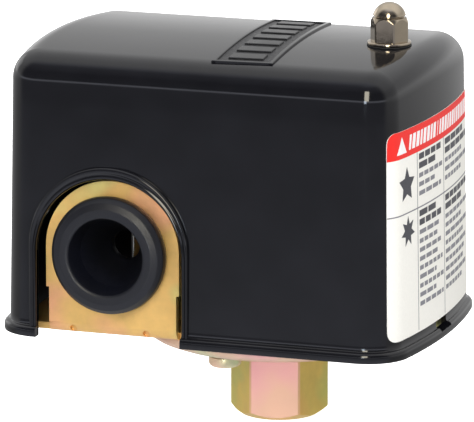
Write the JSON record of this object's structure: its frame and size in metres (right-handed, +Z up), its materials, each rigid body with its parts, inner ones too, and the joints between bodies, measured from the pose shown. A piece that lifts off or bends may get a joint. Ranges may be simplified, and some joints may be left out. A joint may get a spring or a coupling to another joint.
{
  "type": "pressure switch",
  "caption": "Diaphragm pressure switch: black cover with arched conduit cut-outs over a zinc-plated base, contact block, adjusting springs and a hexagonal pipe port.",
  "frame": {"origin": "axis of the pressure port at the open end of the hexagon", "axes": "+Z up along the port axis, +X along the base towards the cover nut, -Y towards the front conduit grommet"},
  "size_m": [0.1048, 0.0726, 0.1017],
  "materials": {
    "base_frame": "yellow chromate zinc plate",
    "grommet_front": "matt",
    "diaphragm_housing": "yellow chromate zinc plate",
    "diaphragm": "matt",
    "port_fitting": "yellow chromate zinc plate",
    "housing_screws": "yellow chromate zinc plate",
    "ground_screw_front": "green dyed zinc",
    "lever_pivot_pin": "ground",
    "range_stud": "zinc plated thread",
    "range_spring": "drawn wire",
    "differential_spring": "drawn wire",
    "terminal_block": "moulded phenolic",
    "block_screws": "zinc plated",
    "terminal_plate_1": "stamped brass",
    "fixed_contacts": "silver",
    "operating_lever": "zinc plated",
    "actuator_piston": "moulded acetal",
    "contact_carrier": "moulded phenolic",
    "contact_bridge_front": "spring copper",
    "contact_springs": "drawn wire",
    "range_spring_seat": "zinc plated",
    "range_nut": "zinc plated",
    "cover": "gloss black enamel",
    "cover_label": "coated",
    "cover_seal_washer": "matt",
    "cover_nut": "nickel plated",
    "terminal_clamp_1": "zinc plated",
    "terminal_screw_1": "brass"
  },
  "bodies": {
    "base": {"base_frame": "base_frame", "grommet_front": "grommet_front", "grommet_back": "grommet_front", "diaphragm_housing": "diaphragm_housing", "diaphragm": "diaphragm", "port_fitting": "port_fitting", "housing_screws": "housing_screws", "ground_screw_front": "ground_screw_front", "ground_screw_back": "ground_screw_front", "lever_pivot_pin": "lever_pivot_pin", "range_stud": "range_stud", "range_spring": "range_spring", "differential_stud": "range_stud", "differential_spring": "differential_spring", "terminal_block": "terminal_block", "block_screws": "block_screws", "terminal_plate_1": "terminal_plate_1", "terminal_plate_2": "terminal_plate_1", "terminal_plate_3": "terminal_plate_1", "terminal_plate_4": "terminal_plate_1", "fixed_contacts": "fixed_contacts", "carrier_bracket": "base_frame", "carrier_pivot_pin": "lever_pivot_pin"},
    "lever": {"operating_lever": "operating_lever"},
    "piston": {"actuator_piston": "actuator_piston"},
    "carrier": {"contact_carrier": "contact_carrier", "contact_bridge_front": "contact_bridge_front", "contact_bridge_back": "contact_bridge_front", "moving_contacts": "fixed_contacts", "contact_springs": "contact_springs", "snap_spring": "contact_springs"},
    "range_seat": {"range_spring_seat": "range_spring_seat"},
    "range_nut": {"range_nut": "range_nut"},
    "differential_seat": {"differential_seat": "range_spring_seat"},
    "differential_nut": {"differential_nut": "range_nut"},
    "cover": {"cover": "cover", "cover_label": "cover_label"},
    "seal_washer": {"cover_seal_washer": "cover_seal_washer"},
    "cover_nut": {"cover_nut": "cover_nut"},
    "terminal_clamp_1": {"terminal_clamp_1": "terminal_clamp_1"},
    "terminal_screw_1": {"terminal_screw_1": "terminal_screw_1"},
    "terminal_clamp_2": {"terminal_clamp_2": "terminal_clamp_1"},
    "terminal_screw_2": {"terminal_screw_2": "terminal_screw_1"},
    "terminal_clamp_3": {"terminal_clamp_3": "terminal_clamp_1"},
    "terminal_screw_3": {"terminal_screw_3": "terminal_screw_1"},
    "terminal_clamp_4": {"terminal_clamp_4": "terminal_clamp_1"},
    "terminal_screw_4": {"terminal_screw_4": "terminal_screw_1"}
  },
  "joints": [
    {"name": "cover_lift", "type": "slide", "parent": "base", "child": "cover", "axis": [0, 0, 1], "range_m": [0, 0.08]},
    {"name": "cover_nut_rise", "type": "slide", "parent": "cover", "child": "seal_washer", "axis": [0, 0, 1], "range_m": [0, 0.0074]},
    {"name": "cover_nut_turn", "type": "hinge", "parent": "seal_washer", "child": "cover_nut", "pos_m": [0.0272, 0, 0.095], "axis": [0, 0, 1], "range_deg": [0, 2520]},
    {"name": "lever_pivot", "type": "hinge", "parent": "base", "child": "lever", "pos_m": [-0.016, 0, 0.033], "axis": [0, -1, 0], "range_deg": [0, 4], "stiffness_Nm_per_rad": 5, "springref_deg": -2.86, "deforming": ["range_spring", "differential_spring"]},
    {"name": "piston_slide", "type": "slide", "parent": "base", "child": "piston", "axis": [0, 0, 1], "range_m": [0, 0.00112]},
    {"name": "carrier_rock", "type": "hinge", "parent": "base", "child": "carrier", "pos_m": [0.002, 0, 0.042], "axis": [0, 1, 0], "range_deg": [0, 12.01]},
    {"name": "range_seat_slide", "type": "slide", "parent": "base", "child": "range_seat", "axis": [0, 0, 1], "range_m": [-0.00254, 0.00254], "deforming": ["range_spring"]},
    {"name": "range_nut_turn", "type": "hinge", "parent": "range_seat", "child": "range_nut", "pos_m": [0.0272, 0, 0.066], "axis": [0, 0, 1], "range_deg": [-721, 721]},
    {"name": "differential_seat_slide", "type": "slide", "parent": "base", "child": "differential_seat", "axis": [0, 0, 1], "range_m": [-0.00119, 0.00119], "deforming": ["differential_spring"]},
    {"name": "differential_nut_turn", "type": "hinge", "parent": "differential_seat", "child": "differential_nut", "pos_m": [0.0132, 0, 0.0505], "axis": [0, 0, 1], "range_deg": [-540, 540]},
    {"name": "terminal_clamp_1_rise", "type": "slide", "parent": "base", "child": "terminal_clamp_1", "axis": [0, 0, 1], "range_m": [0, 0.00238]},
    {"name": "terminal_screw_1_turn", "type": "hinge", "parent": "terminal_clamp_1", "child": "terminal_screw_1", "pos_m": [-0.016, -0.01425, 0.0545], "axis": [0, 0, 1], "range_deg": [0, 1080]},
    {"name": "terminal_clamp_2_rise", "type": "slide", "parent": "base", "child": "terminal_clamp_2", "axis": [0, 0, 1], "range_m": [0, 0.00238]},
    {"name": "terminal_screw_2_turn", "type": "hinge", "parent": "terminal_clamp_2", "child": "terminal_screw_2", "pos_m": [-0.016, -0.00475, 0.0545], "axis": [0, 0, 1], "range_deg": [0, 1080]},
    {"name": "terminal_clamp_3_rise", "type": "slide", "parent": "base", "child": "terminal_clamp_3", "axis": [0, 0, 1], "range_m": [0, 0.00238]},
    {"name": "terminal_screw_3_turn", "type": "hinge", "parent": "terminal_clamp_3", "child": "terminal_screw_3", "pos_m": [-0.016, 0.00475, 0.0545], "axis": [0, 0, 1], "range_deg": [0, 1080]},
    {"name": "terminal_clamp_4_rise", "type": "slide", "parent": "base", "child": "terminal_clamp_4", "axis": [0, 0, 1], "range_m": [0, 0.00238]},
    {"name": "terminal_screw_4_turn", "type": "hinge", "parent": "terminal_clamp_4", "child": "terminal_screw_4", "pos_m": [-0.016, 0.01425, 0.0545], "axis": [0, 0, 1], "range_deg": [0, 1080]}
  ],
  "couplings": [
    {"joint": "cover_nut_turn", "follows": "cover_nut_rise", "rad_per_m": 5936.9},
    {"joint": "piston_slide", "follows": "lever_pivot", "m_per_rad": 0.016},
    {"joint": "carrier_rock", "follows": "lever_pivot", "ratio": 3},
    {"joint": "range_nut_turn", "follows": "range_seat_slide", "rad_per_m": 4947.4},
    {"joint": "differential_nut_turn", "follows": "differential_seat_slide", "rad_per_m": 7915.8},
    {"joint": "terminal_screw_1_turn", "follows": "terminal_clamp_1_rise", "rad_per_m": 7915.8},
    {"joint": "terminal_screw_2_turn", "follows": "terminal_clamp_2_rise", "rad_per_m": 7915.8},
    {"joint": "terminal_screw_3_turn", "follows": "terminal_clamp_3_rise", "rad_per_m": 7915.8},
    {"joint": "terminal_screw_4_turn", "follows": "terminal_clamp_4_rise", "rad_per_m": 7915.8}
  ]
}
